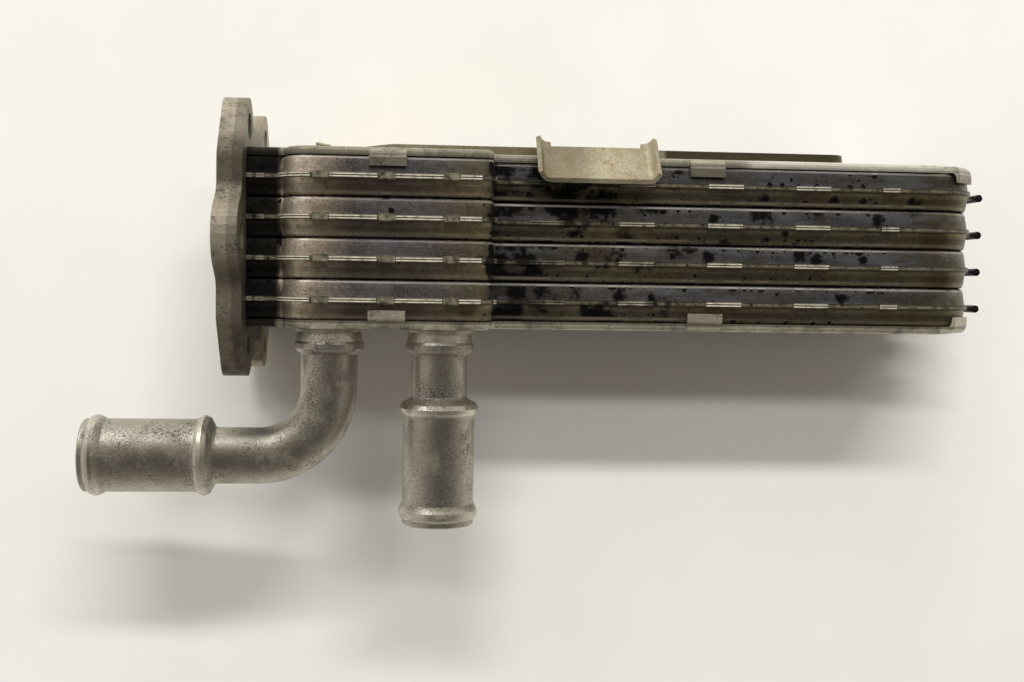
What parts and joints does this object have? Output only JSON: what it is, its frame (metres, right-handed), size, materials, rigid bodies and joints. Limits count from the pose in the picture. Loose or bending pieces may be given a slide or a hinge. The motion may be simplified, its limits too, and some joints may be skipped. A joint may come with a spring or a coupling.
{
  "type": "egr cooler",
  "caption": "Plate-type EGR cooler with stacked seam-locked gas cells, an eared gas flange, a bent and a straight beaded coolant pipe, and a clip bracket with flared saddles.",
  "frame": {"origin": "middle of the gas flange's mating face, on the web between the two gas windows", "axes": "+X from the flange along the cells, +Y along the stack towards the clip bracket, +Z towards the side with the coolant ports"},
  "size_m": [0.2338, 0.1055, 0.071],
  "materials": {
    "flange_steel": "satin",
    "shell_steel": "satin",
    "fin_steel": "satin",
    "cover_steel": "satin",
    "pipe_steel": "satin",
    "bracket_steel": "satin"
  },
  "bodies": {
    "root": {"gas_flange": "flange_steel", "cell_1_upper_shell": "shell_steel", "cell_1_lower_shell": "shell_steel", "cell_1_divider": "fin_steel", "cell_1_near_fin": "fin_steel", "cell_1_far_fin": "fin_steel", "cell_2_upper_shell": "shell_steel", "cell_2_lower_shell": "shell_steel", "cell_2_divider": "fin_steel", "cell_2_near_fin": "fin_steel", "cell_2_far_fin": "fin_steel", "cell_3_upper_shell": "shell_steel", "cell_3_lower_shell": "shell_steel", "cell_3_divider": "fin_steel", "cell_3_near_fin": "fin_steel", "cell_3_far_fin": "fin_steel", "cell_4_upper_shell": "shell_steel", "cell_4_lower_shell": "shell_steel", "cell_4_divider": "fin_steel", "cell_4_near_fin": "fin_steel", "cell_4_far_fin": "fin_steel", "top_cover": "cover_steel", "bottom_cover": "cover_steel", "bent_coolant_pipe": "pipe_steel", "straight_coolant_pipe": "pipe_steel", "clip_bracket": "bracket_steel"}
  },
  "joints": []
}
